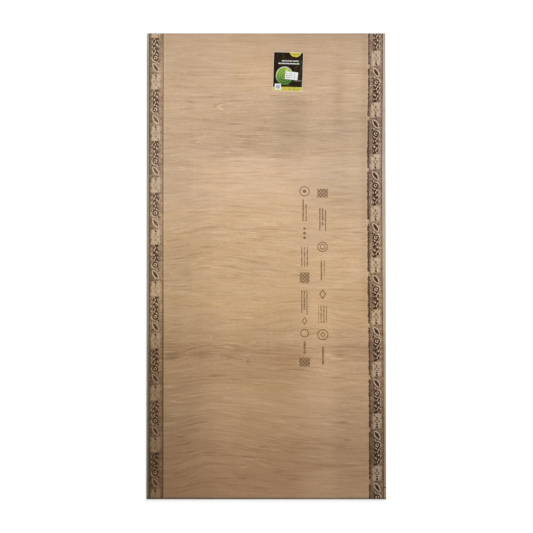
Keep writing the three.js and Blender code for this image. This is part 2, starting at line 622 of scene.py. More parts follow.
def make_border_print():
    """Group: distance from the long edge, place along it and whether it is the right one
    give the border's tint, its dark marks, its pale parts and its two lines."""
    outputs = "Tint", "Dark", "Pale", "Outer line", "Inner line"
    tree, (across, along, right) = new_effect("border print", ("Across", "Along", "Right"), outputs)
    side = across - by_border(right, MOTIF_LINES)
    side = side + noise(across, along, 9, 9, 36) * ROUGHNESS_OF_PRINT
    place = along.wrapped(REPEAT) + noise(across, along, 9, 9, 37) * ROUGHNESS_OF_PRINT
    panel_marks = 0.5 + right * (0.22 + along.rise(0, -800) * 0.2)
    dark, bare, light = place_effect(tree, BORDER_MARKS, side, place, panel_marks)
    beside = side + PALE_EDGE[0], place + PALE_EDGE[1]
    edge = place_effect(tree, BORDER_MARKS, *beside, panel_marks)[0]
    pale = either(edge, light) * (1 - dark)
    mottle = noise(across, along, 12, 15, 33, detail=3.0, roughness=0.6)
    speckle = noise(across, along, 6, 6, 38, detail=1.0)
    patches = noise(across, along, 60, 110, 34, detail=1.0)
    ragged = noise(across * 0.3, along, 8, 12, 35, detail=3.0)
    field = across.between(BAND_START - 1, BAND_START + 1, BAND_END - 1, BAND_END + 1)
    outer_half = by_border(right, OUTER_HALVES)
    outer = straight_line(across, by_border(right, OUTER_LINES), outer_half, 1.2)
    outer_worn = ragged.rise(0.0, 1.0) * (0.2 + right * 0.3)
    inner_middle = by_border(right, INNER_LINES) - (1 - right) * along.rise(200, 500) * 0.9
    gap = abs(place - GAP_PLACE).rise(14, 7) * GAP_DEPTH
    wider = ragged * INNER_RAGGEDNESS + along.between(*WIDER_ALONG) - gap
    inner = straight_line(across, inner_middle, INNER_HALF + right * wider, 1.0)
    inner_worn = mottle.rise(-0.2, 1.0) * 0.3
    left_lanes = lanes_of_ink(across, along, LEFT_LANES)
    right_lanes = lanes_of_ink(across, along, RIGHT_LANES)
    ink = 0.66 + right * 0.05 + left_lanes + right * (right_lanes - left_lanes)
    ink = ink - (across - MOTIF_LINES[0]) / 35 * (1 - right * 2) * 0.12
    ink = ink + mottle * 0.40 + speckle * 0.26 + patches * 0.20
    tint = ink * (1 - bare) + bare * mottle.rise(0.2, 1.4) * 0.35
    dark_left = dark * field * speckle.rise(2.2, 0.5)
    lines = outer * (1 - outer_worn), inner * (1 - inner_worn)
    give_out(tree, tint * field * (1 - pale * 0.9), dark_left, pale * field, *lines)
    return tree


BORDER_PRINT = make_border_print()


# The stamps: two columns of faint brown marks from rubber rollers, of plain rings, bars,
# dots, lozenges and checks. Places are millimetres from the middle of the sheet, and
# sizes are across the sheet and along it.
STAMP_BARS = [
    ((274, 240), (7.5, 118)),
    ((288, 252), (8.5, 94)),
    ((303, 236), (6.5, 110)),
    ((282, -28), (8.0, 104)),
    ((297, -18), (5.0, 84)),
    ((290, -474), (11.0, 92)),
    ((189, 288), (8.0, 116)),
    ((204, 276), (6.0, 92)),
    ((182, -190), (6.0, 118)),
    ((195, -182), (7.5, 102)),
    ((208, -196), (5.0, 130)),
    ((196, -432), (11.0, 66)),
]
STAMP_LINES = [((288, -256), (44, 92)), ((196, 44), (46, 104))]
STAMP_LINE_PITCH = 14.0
STAMP_RINGS = [
    ((288, 96), 24, 4.6),
    ((288, 96), 12, 4.6),
    ((289, -364), 26, 4.6),
    ((196, 388), 24, 4.6),
    ((196, -356), 20, 4.6),
]
STAMP_DOTS = [((196, 192), 7), ((196, 168), 7), ((196, 144), 7), ((196, 388), 9)]
STAMP_LOZENGES = [((288, -152), (17, 26)), ((289, -364), (12, 16)), ((196, -292), (14, 20))]
STAMP_CHECKS = [((288, 378), (54, 46)), ((196, -66), (50, 56)), ((196, -508), (54, 46))]
STAMP_CHECK = 9.0


def checked(x, y, size):
    """Squares of `size` that are 1 and 0 by turns."""
    columns, rows = (abs(v.wrapped(2 * size)).rise(size / 2 - 0.4, size / 2 + 0.4) for v in (x, y))
    return abs(columns - rows)


def make_stamps():
    """Group: place on the good face gives the cover of the stamped ink."""
    tree, (place,) = new_effect("stamps", ("Place",), ("Cover",))
    x, y = split(place)[:2]
    broken = 0.3 + noise(x, y, 4.0, 6.5, 30, detail=0.0).rise(-0.6, 0.0) * 0.7
    line = abs(x.wrapped(STAMP_LINE_PITCH)).rise(3.4, 2.2)
    bars = bars_at(x, y, STAMP_BARS) * broken
    lines = bars_at(x, y, STAMP_LINES) * line * broken
    rings = either(*[ring(x, y, *sizes) for sizes in STAMP_RINGS])
    dots = either(*[disc(x, y, *sizes) for sizes in STAMP_DOTS])
    lozenges = either(*[lozenge_outline(x - c[0], y - c[1], half) for c, half in STAMP_LOZENGES])
    checks = bars_at(x, y, STAMP_CHECKS) * (0.42 + checked(x, y, STAMP_CHECK) * 0.58)
    give_out(tree, either(bars, lines, rings, dots, lozenges, checks))
    return tree


STAMPS = make_stamps()


def make_worn_ink():
    """Group: how much of a printed mark is left where the grain and handling wear it."""
    tree, (place, cover, wear) = new_effect("worn ink", ("Place", "Cover", "Wear"), ("Ink",))
    x, y = split(place)[:2]
    scuffs = noise(x, y, 30, 6, 31, detail=3.0) * 0.6 + noise(x, y, 6, 1.2, 32) * 0.4
    give_out(tree, cover * (1 - wear * scuffs.rise(-0.6, 0.9)))
    return tree


WORN_INK = make_worn_ink()


# The good face: the best veneer, sanded and then printed. The marks that stand out of its
# grain are placed from the middle of the sheet: place, half length as a run and a
# rise, half width, and how much lighter or darker than the wood round it.
GRAIN_MARKS = [
    # The head.
    (-335, 998, 150, 0, 3.5, -0.13), (-330, 1016, 95, 0, 3.5, -0.07), (-400, 982, 65, 0, 3.5, -0.06),
    (-155, 982, 60, 0, 3.5, -0.05), (-215, 961, 125, 0, 3.5, -0.08), (-270, 933, 190, 0, 3, -0.05),
    (-170, 918, 170, 0, 3.5, -0.06), (-335, 1040, 70, 0, 4, -0.06), (-330, 1054, 70, 0, 5, 0.06),
    (-335, 1006, 130, 0, 3, 0.05), (-335, 990, 130, 0, 3, 0.06), (-220, 952, 130, 0, 4, 0.05),
    (-335, 926, 120, 0, 4, 0.06), (-155, 1016, 60, 0, 4, -0.06), (-450, 1114, 20, 0, 5, -0.07),
    (-475, 1080, 25, 0, 5, 0.05), (-210, 1065, 22, 0, 6, 0.06), (370, 1103, 14, 0, 3.5, -0.10),
    (378, 1093, 14, 5, 3.5, 0.08), (375, 1030, 42, 3, 7, -0.07), (260, 967, 60, 0, 6, 0.05),
    (300, 933, 60, 0, 4, 0.05), (375, 957, 22, 0, 4, -0.07),
    # The knotty swirl below it.
    (-233, 823, 20, -12, 4.5, 0.26), (-240, 837, 19, 9, 4, 0.22), (-190, 851, 45, 6, 4.2, 0.18),
    (-262, 834, 10, 5, 9, -0.13), (-234, 849, 27, 9, 4, -0.15), (-165, 864, 50, 2, 4.5, -0.16),
    (-50, 863, 65, -3, 4.5, -0.12), (-282, 886, 20, 0, 4.5, -0.12), (-385, 858, 28, -8, 6, -0.12),
    (-400, 823, 50, 2, 5, -0.12), (-432, 803, 35, 8, 5, 0.09), (-350, 836, 25, 3, 10, 0.08),
    (-285, 777, 26, 0, 5, 0.09), (-310, 762, 35, 0, 6, -0.09), (-247, 764, 9, 0, 3, -0.13),
    (-212, 764, 9, 0, 3, -0.10), (-240, 749, 12, 0, 4, -0.10), (-160, 742, 45, -2, 5, -0.12),
    (-8, 752, 6, 0, 7, -0.16), (150, 862, 175, 0, 5.5, -0.08), (150, 807, 50, -2, 5, -0.08),
    (360, 757, 30, -3, 5, -0.09), (370, 900, 32, 0, 190, -0.06),
    # The figured band.
    (-20, 721, 45, 0, 4.5, -0.13), (160, 703, 130, 0, 5, -0.08), (5, 680, 25, -2, 4.5, -0.12),
    (-95, 641, 55, 0, 4.5, -0.14), (-120, 623, 55, 0, 6, -0.16), (-150, 638, 20, 3, 5, 0.10),
    (-205, 620, 25, 0, 5, -0.12), (-195, 584, 50, -6, 5, -0.10), (-110, 556, 68, 0, 6, 0.17),
    (60, 553, 120, 0, 4.5, 0.07), (-485, 573, 16, 0, 7, 0.08), (-340, 667, 9, 2, 6, 0.17),
    (-316, 676, 8, 3, 6, 0.16), (-348, 649, 14, 3, 4.5, 0.13), (-428, 622, 7, 0, 6, 0.13),
    (-372, 652, 24, 7, 5, -0.11), (-322, 643, 14, 0, 4, -0.08), (85, 632, 25, -2, 5, -0.12),
    (95, 614, 25, -2, 4.5, -0.08), (192, 585, 16, -3, 4.5, -0.09), (250, 586, 28, 0, 4.5, -0.10),
    (40, 567, 45, 0, 3.5, -0.08), (285, 655, 32, -2, 4.5, -0.11), (365, 641, 55, 0, 4, -0.10),
    (370, 601, 24, 0, 5, -0.10), (365, 692, 22, 5, 5, -0.08), (430, 650, 25, 0, 5, 0.08),
    # The bright band.
    (-360, 496, 14, 0, 6, 0.11), (-290, 486, 50, -3, 4.5, 0.08), (-325, 477, 45, -2, 4.5, -0.10),
    (-488, 437, 18, 0, 6, 0.08), (-375, 411, 45, -2, 6, 0.12), (75, 478, 22, -1, 5, -0.09),
    (365, 488, 35, 0, 6, -0.08), (375, 411, 50, 0, 4.5, -0.11), (365, 334, 55, 2, 6, -0.08),
    (365, 347, 25, 0, 4, -0.08), (-320, 368, 22, 0, 6, -0.08), (-405, 345, 35, -3, 6, -0.08),
    (-300, 313, 55, 0, 5, -0.08), (-160, 310, 55, 0, 4.5, -0.12), (-70, 322, 35, 0, 5, -0.10),
    (-220, 338, 12, 0, 4, -0.08), (-360, 291, 60, 0, 5.5, 0.14), (-255, 292, 45, 0, 6, 0.12),
    (270, 277, 45, -2, 6, 0.10), (470, 280, 40, 0, 8, 0.09), (-345, 278, 55, 0, 5, -0.16),
    (-120, 260, 38, 0, 6, -0.12), (100, 310, 35, -2, 6, -0.08),
    # The waves.
    (-445, 222, 30, 0, 6, 0.09), (-410, 168, 35, 4, 4, -0.08), (-345, 184, 55, 13, 5, -0.15),
    (-275, 200, 35, 4, 5, -0.11), (-205, 197, 40, -6, 5, -0.09), (-130, 187, 45, 0, 5, -0.09),
    (-20, 190, 75, -1, 5, -0.15), (50, 186, 45, 1, 4.5, -0.10), (115, 181, 28, -3, 5, -0.13),
    (-215, 176, 85, 0, 4.5, 0.19), (-420, 158, 28, 0, 4.5, 0.10), (-395, 187, 18, 0, 5, 0.08),
    (-330, 156, 60, 7, 5, -0.08), (-403, 115, 18, 3, 5, -0.11), (-295, 96, 50, 2, 5, -0.10),
    (-130, 116, 28, 0, 5, -0.14), (-20, 150, 18, 0, 5, -0.09), (-35, 87, 35, -2, 8, 0.08),
    (-440, 36, 55, 3, 5, -0.12), (-360, 47, 45, 6, 4.5, -0.08), (-435, 46, 60, 3, 5, 0.08),
    (-150, 35, 60, -8, 5, -0.08), (-70, 22, 60, -8, 6, -0.10), (-5, 8, 40, -6, 6, -0.09),
    (-195, 54, 32, 0, 4.5, 0.08), (-300, 23, 65, 0, 4, 0.10), (-330, 12, 26, 1, 4.5, -0.10),
    (-370, 9, 12, 0, 6, 0.10), (-175, -6, 38, -7, 5, -0.14), (-90, -23, 45, -3, 4.5, -0.10),
    (-185, 10, 28, 2, 5, 0.08), (-400, -50, 36, 4, 12, -0.12), (-412, -25, 28, 0, 30, -0.06),
    (-390, -77, 20, 2, 6, -0.09), (-475, -48, 20, 0, 10, 0.08), (-450, -102, 70, 1, 5, 0.13),
    (-340, -93, 45, 0, 6, 0.08), (-425, -111, 50, 2, 4.5, -0.13), (-410, -130, 30, 0, 6, -0.08),
    (-357, -158, 30, 0, 7, 0.10), (-180, -200, 38, -2, 4.5, 0.08), (-45, -192, 50, -4, 4.5, 0.13),
    (-55, -182, 25, -3, 3.5, -0.11), (-60, -167, 10, 0, 4, -0.09), (-30, -152, 28, 0, 5, 0.08),
    (355, 146, 45, -12, 4.5, -0.14), (140, 71, 30, 0, 6, -0.12), (462, -30, 35, -20, 7, 0.11),
    (390, -129, 70, -5, 5, -0.08),
    # Below the middle.
    (-455, -311, 45, 0, 5, -0.10), (100, -292, 55, 5, 5, -0.08), (360, -308, 30, 0, 5, -0.09),
    (365, -355, 28, 0, 4.5, -0.12), (335, -359, 25, 0, 4, -0.08), (390, -425, 60, 0, 4, -0.09),
    (375, -452, 35, 0, 6, -0.08), (372, -474, 34, 0, 9, -0.13), (-480, -391, 20, 0, 4.5, 0.10),
    (-320, -390, 35, 0, 4, 0.10), (-283, -382, 8, 0, 24, 0.10), (-70, -404, 20, 0, 5, 0.10),
    (-450, -456, 45, 6, 6, -0.08), (-385, -437, 35, 8, 5, -0.12), (-335, -423, 40, 2, 4.5, -0.11),
    (-240, -422, 60, 0, 5, -0.08), (-100, -426, 80, -1, 4.5, -0.12), (-150, -444, 28, 0, 4.5, -0.13),
    (-335, -466, 55, -3, 26, -0.08), (-200, -475, 34, -4, 8, -0.13), (-178, -485, 18, -2, 5, -0.13),
    (-171, -493, 9, 0, 4.5, 0.14), (-100, -470, 48, 0, 5.5, 0.10), (-94, -500, 9, 0, 14, -0.14),
    (80, -467, 110, -4, 5, -0.08), (-340, -583, 38, 0, 4, -0.09), (-275, -580, 25, 0, 4, -0.10),
    (-230, -577, 30, 0, 4, -0.08), (-50, -590, 55, 0, 5, -0.09), (-490, -637, 45, 0, 4.5, 0.17),
    (-430, -681, 60, 0, 8, 0.08), (-465, -713, 55, -6, 6, 0.12), (-180, -697, 50, 0, 5, 0.10),
    (-100, -704, 50, -1, 5, 0.10), (40, -540, 32, 0, 6, 0.10), (230, -663, 110, -2, 4.5, 0.13),
    # The foot.
    (-462, -780, 36, 0, 8, 0.09), (-365, -829, 62, 15, 5, -0.14), (-436, -898, 22, 0, 5, -0.14),
    (-445, -888, 30, 0, 4.5, 0.08), (-440, -940, 34, 2, 5, -0.10), (-398, -932, 22, 5, 8, -0.10),
    (-395, -956, 16, 0, 4.5, -0.09), (-440, -984, 45, 0, 5, -0.08), (-375, -977, 45, 3, 5, -0.13),
    (-290, -980, 50, -2, 5, -0.11), (-200, -992, 55, -6, 5, -0.11), (-110, -1001, 50, -1, 5, -0.14),
    (-55, -1006, 30, 0, 5, -0.08), (-90, -1016, 55, -1, 5, 0.08), (-115, -1046, 22, 0, 4.5, -0.13),
    (-115, -1056, 22, 0, 4.5, 0.15), (-190, -1089, 24, -3, 5, 0.08), (-410, -1108, 38, 0, 5, -0.08),
    (-220, -1115, 45, 0, 5, -0.10), (-120, -1116, 26, 0, 6, -0.12), (-15, -951, 42, 0, 5, -0.10),
    (-245, -945, 18, 0, 4.5, -0.08), (110, -781, 70, -3, 5, 0.10), (120, -792, 75, -6, 5, -0.10),
    (65, -817, 40, -3, 5, 0.09), (155, -842, 24, -4, 5, 0.13), (165, -853, 30, -2, 5, -0.10),
    (205, -855, 35, -4, 4, 0.08), (262, -865, 42, 1, 5, 0.12), (305, -831, 42, -3, 6, 0.12),
    (345, -826, 32, 1, 4, -0.08), (393, -824, 26, 0, 9, -0.17), (385, -861, 30, -2, 5, 0.13),
    (365, -892, 60, -4, 4.5, 0.10), (375, -903, 60, -5, 4.5, -0.08), (412, -915, 22, 0, 6, -0.11),
    (105, -900, 28, 0, 6, -0.08), (120, -930, 50, -3, 4.5, 0.08), (45, -967, 30, 0, 5, 0.10),
    (240, -961, 60, -6, 5, -0.09), (255, -1003, 60, -7, 4.5, 0.10), (310, -1014, 35, -4, 4.5, 0.09),
    (240, -1011, 60, -3, 4.5, -0.09), (25, -1021, 26, 0, 6, -0.08), (430, -1035, 35, 0, 5, 0.13),
    (475, -1038, 25, 0, 4, 0.08), (60, -1082, 40, 0, 10, -0.10), (148, -1121, 34, 0, 5, -0.12),
]
# A mark fades out at this many of its half lengths and half widths from its middle.
MARK_FADES = (1.35, 1.3)
VENEER_RELIEF = 0.1 * MM


def set_out(place, middle, turn, unit):
    """Place measured from `middle`, along axes turned by `turn`, in lengths of `unit`."""
    node = place.tree.nodes.new("ShaderNodeMapping")
    node.vector_type = "TEXTURE"
    node.inputs["Location"].default_value = (middle[0], middle[1], 0)
    node.inputs["Rotation"].default_value = (0, 0, turn)
    node.inputs["Scale"].default_value = (unit[0], unit[1], 1)
    feed(node.inputs["Vector"], place)
    return Pattern(place.tree, node.outputs["Vector"])


def soft_spot(place):
    """1 at the origin, fading evenly to 0 at a distance of 1."""
    node = place.tree.nodes.new("ShaderNodeTexGradient")
    node.gradient_type = "SPHERICAL"
    feed(node.inputs["Vector"], place)
    return Pattern(place.tree, node.outputs["Fac"])


def give_finish(surface, colour, peeled, roughness):
    """Colour, gloss and relief of a sanded veneer: growth lines are smooth and pores rough."""
    lines, fibres, pores = peeled[2:]
    feed(surface.inputs["Base Color"], colour)
    feed(surface.inputs["Roughness"], roughness - lines * 0.05 + pores * 0.1)
    add_relief(surface, fibres * 0.5 - pores, VENEER_RELIEF)


def make_grain_marks():
    """Group: place on the good face gives how much its marks lighten or darken it."""
    tree, (place,) = new_effect("grain marks", ("Place",), ("Tone",))
    x, y = split(place)[:2]
    bent = vector(x + noise(x, y, 40, 12, 25) * 5, y + noise(x, y, 60, 20, 26) * 1.6)
    total = 0.0
    for mark_x, mark_y, run, rise, half_width, tone in GRAIN_MARKS:
        reach = (math.hypot(run, rise) * MARK_FADES[0], half_width * MARK_FADES[1])
        spot = soft_spot(set_out(bent, (mark_x, mark_y), math.atan2(rise, run), reach))
        total = spot.math("MULTIPLY_ADD", tone, total)
    give_out(tree, total * (1.8 + noise(x, y, 30, 6, 27) * 0.6))
    return tree


MARKED_GRAIN = make_grain_marks()


# The tone of the bare wood and the strength of its grain, given at places from the foot, at
# -1220, to the head, and across from the left, at -610. Two places are where a change
# starts and is full, and four are where it starts, is full, is still full and ends.
PALE_WOOD = (0.653, 0.472, 0.333, 1)
WARM_WOOD = (0.644, 0.423, 0.219, 1)
GREYED_WOOD = (0.395, 0.271, 0.176, 1)
BROWN_WOOD = (0.411, 0.242, 0.132, 1)
LIGHT_GRAIN = (0.822, 0.637, 0.437, 1)
LINE_COLOUR = (0.74, 0.67, 0.60, 1)
# How far the wood goes over to the darker browns along the sheet: partly its own tone, partly
# painted shade, deepest at the foot, where the light falls off.
DARKER_ALONG = [
    (-1220, 1.00), (-980, 0.92), (-860, 0.66), (-720, 0.54), (-520, 0.64), (-450, 0.72),
    (-380, 0.44), (-250, 0.16), (-100, 0.10), (100, 0.12), (290, 0.02), (480, 0.04),
    (545, 0.16), (608, 0.48), (734, 0.62), (860, 0.46), (950, 0.38), (1100, 0.50), (1220, 0.70),
]
WARMTH_ALONG = [(-1220, 0.83), (-250, 0.83), (0, 0.69), (270, 0.53), (420, 0.33), (1220, 0.33)]
# The left strip lighter or darker than the middle: partly the wood's own tone, partly painted shade
# that darkens it towards the foot, away from the light at the upper right.
LEFT_TONE_ALONG = [
    (-1220, 0.77), (-980, 0.78), (-800, 0.72), (-680, 0.78), (-520, 0.88), (-350, 0.85),
    (0, 0.86), (200, 0.91), (450, 0.87), (545, 0.89), (610, 1.04), (720, 1.10), (860, 1.01),
    (1000, 0.95), (1220, 0.94),
]
# The right strip lighter or darker than the middle: partly the wood's own tone, partly painted light
# that brightens it at the foot, nearer the light at the right.
RIGHT_TONE_ALONG = [
    (-1220, 1.12), (-1000, 1.00), (-840, 0.95), (-520, 1.12), (-400, 1.03), (-150, 0.98),
    (60, 1.06), (200, 0.96), (360, 0.87), (480, 0.90), (620, 0.98), (900, 0.97), (1220, 0.92),
]
THREADS_ALONG = [
    (-1220, 0.50), (-1080, 0.55), (-980, 0.80), (-850, 0.88), (-620, 0.92), (-540, 1.25),
    (-400, 1.45), (-330, 1.15), (-200, 1.10), (0, 1.25), (160, 1.30), (270, 1.00),
    (420, 0.75), (560, 0.90), (650, 1.00), (920, 1.00), (1010, 0.95), (1090, 0.45), (1220, 0.40),
]
LEFT_TONE_ACROSS = (-170, -490)
RIGHT_TONE_ACROSS = (60, 400)
BROWNER_ALONG = (520, 260)
GREYER_ACROSS = (100, 320)
COOLER_ACROSS = (80, 260)
WARM_PATCH_ACROSS = (-220, -140, 20, 120)
WARM_PATCH_ALONG = (880, 980)
LIGHTER_LANE_ACROSS = (130, 240, 310, 390)
LIGHTER_LANE_ALONG = (-120, -220)
DARKER_LANE_ACROSS = (10, 90, 160, 240)
DARKER_LANE_ALONG = (470, 620)
HUMP_ACROSS = (-520, -290, -290, 240)
HUMP_ALONG = (470, 230)
HUMP_DIP_ALONG = (-430, -300, -140, 0)
HUMP_HEIGHT = 38.0
SLOPE_ACROSS = (380, -290)
SLOPE_ALONG = (-1180, -1000, -760, -480)
SLOPE_HEIGHT = 46.0
WAVE_ACROSS = (-60, 160, 210, 480)
WAVE_ALONG = (-410, -300, -250, -110)
WAVE_HEIGHT = 42.0
LOOPS_ALONG = (520, 640, 880, 960)
BOLDER_ALONG = (-980, -900, -400, -300)
BOLDER_ACROSS = (280, 360)
FIBRE_STRENGTH = 0.040
PORE_STRENGTH = 0.14
SMUDGE = (-484.0, -478.0)
SMUDGE_RADIUS = 34.0
SMUDGE_STRETCH = 0.6
SMUDGE_TINT = (0.60, 0.62, 0.66, 1)


def along_sheet(y, stops):
    """A number up to 2, given at places along the sheet."""
    node = y.tree.nodes.new("ShaderNodeValToRGB")
    low = stops[0][0]
    span = stops[-1][0] - low
    ramp = node.color_ramp
    ramp.interpolation = "EASE"
    while len(ramp.elements) < len(stops):
        ramp.elements.new(0.5)
    for element, (place, value) in zip(ramp.elements, stops):
        element.position = (place - low) / span
        element.color = (value / 2, value / 2, value / 2, 1)
    feed(node.inputs["Fac"], (y - low) / span)
    return Pattern(y.tree, node.outputs["Color"]) * 2.0


# The wood's colour under its grain, with painted shade towards the foot and the lower left, and
# painted light at the lower right.
def tone_and_shade_under_grain(x, y, drifting_y):
    darker = along_sheet(drifting_y, DARKER_ALONG) + noise(x, y, 420, 130, 20) * 0.07
    browner = y.rise(*BROWNER_ALONG) * (1 - x.rise(*GREYER_ACROSS) * 0.35)
    darker_wood = mix(browner, GREYED_WOOD, BROWN_WOOD)
    warmth = along_sheet(y, WARMTH_ALONG) + noise(x, y, 320, 120, 21, detail=1.0) * 0.13
    warmth = warmth + x.between(*WARM_PATCH_ACROSS) * y.rise(*WARM_PATCH_ALONG) * 0.28
    warmth = warmth - x.rise(*COOLER_ACROSS) * 0.12 + noise(x, y, 60, 25, 28, detail=1.0) * 0.15
    colour = mix(darker, mix(warmth, PALE_WOOD, WARM_WOOD), darker_wood)
    left = 1 + x.rise(*LEFT_TONE_ACROSS) * (along_sheet(drifting_y, LEFT_TONE_ALONG) - 1)
    right = 1 + x.rise(*RIGHT_TONE_ACROSS) * (along_sheet(drifting_y, RIGHT_TONE_ALONG) - 1)
    lighter_lane = x.between(*LIGHTER_LANE_ACROSS) * y.rise(*LIGHTER_LANE_ALONG) * 0.09
    darker_lane = x.between(*DARKER_LANE_ACROSS) * y.rise(*DARKER_LANE_ALONG) * 0.085
    return brighten(colour, left * right * (1 + lighter_lane - darker_lane))


def lift_of_grain(x, y):
    """How far the growth lines are carried to the head: by a long hump left of the middle,
    by a slope down to the right below it, and by a low wave beside it."""
    hump = x.between(*HUMP_ACROSS) * y.rise(*HUMP_ALONG) * (1 - 0.7 * y.between(*HUMP_DIP_ALONG))
    slope = x.rise(*SLOPE_ACROSS) * y.between(*SLOPE_ALONG)
    wave = x.between(*WAVE_ACROSS) * y.between(*WAVE_ALONG)
    return hump * HUMP_HEIGHT + slope * SLOPE_HEIGHT + wave * WAVE_HEIGHT


def add_good_grain(x, y, drifting_y, colour, peeled):
    """Growth lines, hand-placed marks, streaks, threads, sanding scratches and a smudge."""
    streaks, threads, lines, fibres, pores = peeled
    colour = mix(lines * 0.4, colour, LINE_COLOUR, "MULTIPLY")
    marks, = place_effect(x.tree, MARKED_GRAIN, vector(x, y))
    colour = mix(marks, colour, LIGHT_GRAIN)
    sanding = noise(x, y, 9, 500, 22) * 0.009 + noise(x, y, 34, 900, 23) * 0.011
    bolder = 0.090 + 0.020 * y.between(*BOLDER_ALONG) + 0.012 * x.rise(*BOLDER_ACROSS)
    grain = streaks * bolder + threads * along_sheet(drifting_y, THREADS_ALONG) * 0.078
    grain = grain + sanding + fibres * FIBRE_STRENGTH - pores * PORE_STRENGTH
    grain = grain + marks.math("MINIMUM", 0.0)
    colour = brighten(enrich(colour, -grain * 0.46), 1 + grain * 0.6)
    smudge = distance(x * SMUDGE_STRETCH, y, (SMUDGE[0] * SMUDGE_STRETCH, SMUDGE[1]))
    return mix(smudge.rise(SMUDGE_RADIUS, 0) * 0.5, colour, SMUDGE_TINT, "MULTIPLY")


# Dirt and tones on the good face: a lighter line beside each border's inner line and a
# darker strip inside the right border, both above the lower part of the sheet, a darker
# grey rim round the face, a dark stain down the left edge, dust on the bare margins outside
# the print, thinner towards the foot, and a cooler, darker tint at the two ends, strongest
# at the foot.
EDGE_DARK_TINT = (0.36, 0.33, 0.30, 1)
STAIN_ALONG = (1200, 1120)
STAIN_STRONGER_ALONG = (450, 650)
MARGIN_TINTS = (0.78, 0.83, 0.83, 1), (0.90, 0.97, 1.0, 1)
MARGIN_DUST = (0.51, 0.48, 0.44, 1)
FOOT_ALONG = (-150, -900)
END_TINT = (0.30, 0.50, 0.80, 1)
BESIDE_LINES = (91, 93)


def add_dirt_and_tones(x, y, across, right, colour):
    from_edge = HALF_WIDTH / MM - abs(x)
    from_end = HALF_LENGTH / MM - abs(y)
    beside_line = abs(across - by_border(right, BESIDE_LINES)).rise(4, 1) * y.rise(-350, -50)
    greyer_side = right * across.rise(142, 106) * y.rise(-350, -100)
    colour = brighten(colour, 1 + beside_line * 0.12 - greyer_side * 0.10)
    rim = either(from_edge.rise(3.5, 0.5), from_end.rise(4, 1))
    stronger = y.rise(*STAIN_STRONGER_ALONG)
    stained = (from_edge - stronger * 1.5).rise(6.5, 2) * x.rise(0, -1) * y.rise(*STAIN_ALONG)
    edge_darkening = either(rim * 0.4, stained * (0.85 + stronger * 0.25))
    edge_darkening = edge_darkening * (0.9 + noise(x, y, 30, 45, 41) * 0.3)
    colour = mix(edge_darkening, colour, EDGE_DARK_TINT, "MULTIPLY")
    margin = across.rise(BAND_START, BAND_START - 3)
    colour = mix(margin, colour, mix(right, *MARGIN_TINTS), "MULTIPLY")
    dust = margin * (0.3 - y.rise(*FOOT_ALONG) * 0.18)
    colour = mix(dust, colour, MARGIN_DUST)
    end_tint = from_end.rise(11, 4) * (0.2 + y.rise(0, -1) * (0.32 - x.rise(-200, 250) * 0.1))
    return mix(end_tint, colour, END_TINT, "MULTIPLY")


# The inks, and how they wear and fade along the sheet. The borders grow darker towards
# the foot, partly with dirt and partly with painted shade of the light falling off. The roller
# of the right border didn't run quite straight: where it wanders above one, the print is
# nearer the edge.
RIGHT_PRINT_WANDER = [
    (-1220, 2.00), (-930, 2.00), (-430, 1.70), (-250, 1.05), (0, 0.65), (500, 0.28),
    (750, 0.75), (1000, 1.50), (1220, 1.50),
]
WANDER_UNIT = 4.0
PRINT_OFFSETS = (-28.0, 96.0)
MAUVE_INK = (0.325, 0.246, 0.325, 1)
OLIVE_INK = (0.225, 0.272, 0.225, 1)
PALE_PRINT = (0.74, 0.64, 0.50, 1)
DARK_INK = (0.040, 0.013, 0.001, 1)
OUTER_LINE_INKS = (0.030, 0.026, 0.014, 1), (0.060, 0.030, 0.026, 1)
INNER_LINE_INKS = (0.112, 0.044, 0.014, 1), (0.050, 0.018, 0.003, 1)
STAMP_INK = (0.112, 0.053, 0.014, 1)
MAUVE_ALONG = (-900, -200)
PALER_ALONG = (-760, 150)
FADED_HEAD_ALONG = (1050, 1110)
# How much darker the left and right borders get at the foot: partly dirt, partly painted shade.
FOOT_DIRT_AND_SHADE = (0.14, 0.20)


def pale_strength(y, right):
    """How clearly the pale parts of the print show."""
    on_left = 0.10 + y.rise(*PALER_ALONG) * 0.40
    on_right = 0.48 + 0.12 * y.rise(-300, -700)
    return on_left + right * (on_right - on_left)


def fading(y, right):
    """How much the dark marks of the print are faded."""
    on_left = 0.09 + y.rise(0, 400) * 0.14 - y.rise(850, 980) * 0.08 + y.rise(-550, -750) * 0.06
    return on_left + right * (y.rise(*FADED_HEAD_ALONG) * 0.17 - on_left)


